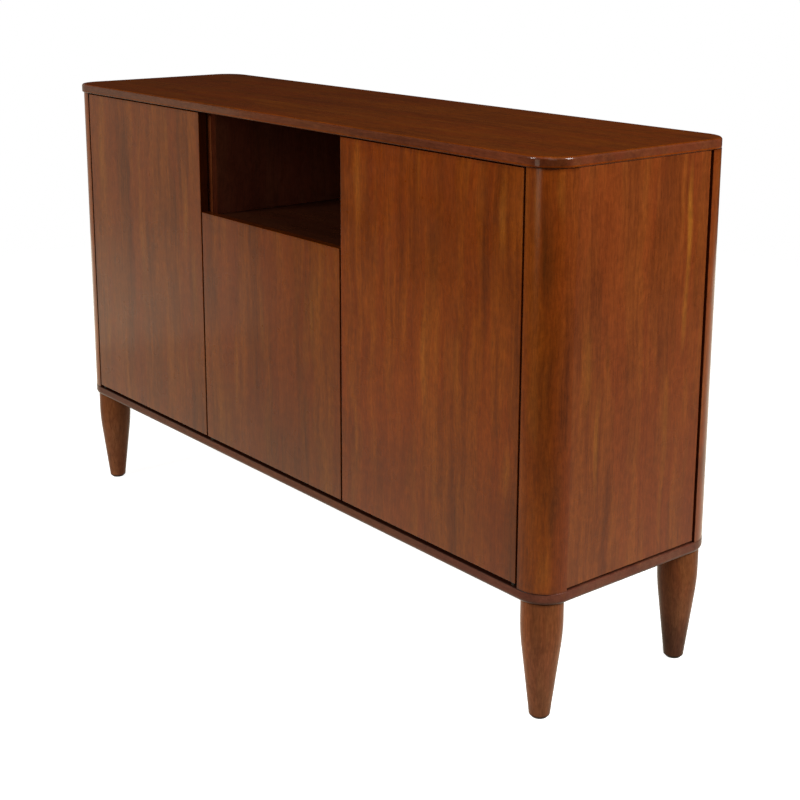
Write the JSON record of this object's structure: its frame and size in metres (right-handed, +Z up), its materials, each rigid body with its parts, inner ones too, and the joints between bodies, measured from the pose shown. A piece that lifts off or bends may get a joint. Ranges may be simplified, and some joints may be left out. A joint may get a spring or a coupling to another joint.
{
  "type": "sideboard buffet",
  "caption": "Long low sideboard with quarter-round corner posts, flush doors on hidden pivots, an open niche above the middle door and tapered turned legs.",
  "frame": {"origin": "on the floor under the middle of the whole, overhang of the top included", "axes": "+X to the right along the front, +Y to the back, +Z up; the doors face -Y"},
  "size_m": [1.401, 0.3926, 0.86],
  "materials": {
    "face_veneer": "satin lacquer over red-brown stained veneer",
    "top_veneer": "satin lacquer over red-brown stained veneer",
    "stained_wood": "satin lacquer over red-brown stained wood",
    "turned_wood": "satin lacquer over red-brown stained wood",
    "shelf_wood": "matt lacquered veneer",
    "back_board": "matt stained board",
    "beech": "raw",
    "steel": "zinc plated",
    "brass": "turned",
    "dark_plastic": "moulded"
  },
  "bodies": {
    "carcass": {"back_panel": "back_board", "back_panel_screws": "steel", "base_panel": "stained_wood", "catch_screws": "steel", "divider_dowels": "beech", "foot_glides": "dark_plastic", "front_left_leg": "turned_wood", "front_left_post": "stained_wood", "front_right_leg": "turned_wood", "front_right_post": "stained_wood", "left_divider": "stained_wood", "left_shelf": "shelf_wood", "left_side_panel": "face_veneer", "leg_hanger_bolts": "steel", "leg_threaded_inserts": "steel", "lower_pivot_bushes": "brass", "magnetic_catches": "dark_plastic", "middle_pivot_arm": "steel", "niche_shelf": "stained_wood", "niche_shelf_dowels": "beech", "pivot_arm_screws": "steel", "post_dowels": "beech", "rear_left_leg": "turned_wood", "rear_left_post": "stained_wood", "rear_right_leg": "turned_wood", "rear_right_post": "stained_wood", "right_divider": "stained_wood", "right_shelf": "shelf_wood", "right_side_panel": "face_veneer", "shelf_pins": "steel", "side_panel_dowels": "beech", "top_panel": "top_veneer", "upper_pivot_bushes": "brass"},
    "left_door": {"left_door": "face_veneer", "left_door_lower_pivot": "steel", "left_door_strike_plate": "steel", "left_door_strike_screw": "steel", "left_door_upper_pivot": "steel"},
    "middle_door": {"middle_door": "face_veneer", "middle_door_lower_pivot": "steel", "middle_door_strike_plate": "steel", "middle_door_strike_screw": "steel", "middle_door_upper_pivot": "steel"},
    "right_door": {"right_door": "face_veneer", "right_door_lower_pivot": "steel", "right_door_strike_plate": "steel", "right_door_strike_screw": "steel", "right_door_upper_pivot": "steel"}
  },
  "joints": [
    {"name": "left_door_hinge", "type": "hinge", "parent": "carcass", "child": "left_door", "pos_m": [-0.6336, -0.18425, 0.5], "axis": [0, 0, -1], "range_deg": [0, 95]},
    {"name": "middle_door_hinge", "type": "hinge", "parent": "carcass", "child": "middle_door", "pos_m": [-0.20427, -0.18425, 0.4], "axis": [0, 0, -1], "range_deg": [0, 95]},
    {"name": "right_door_hinge", "type": "hinge", "parent": "carcass", "child": "right_door", "pos_m": [0.6336, -0.18425, 0.5], "axis": [0, 0, 1], "range_deg": [0, 95]}
  ]
}
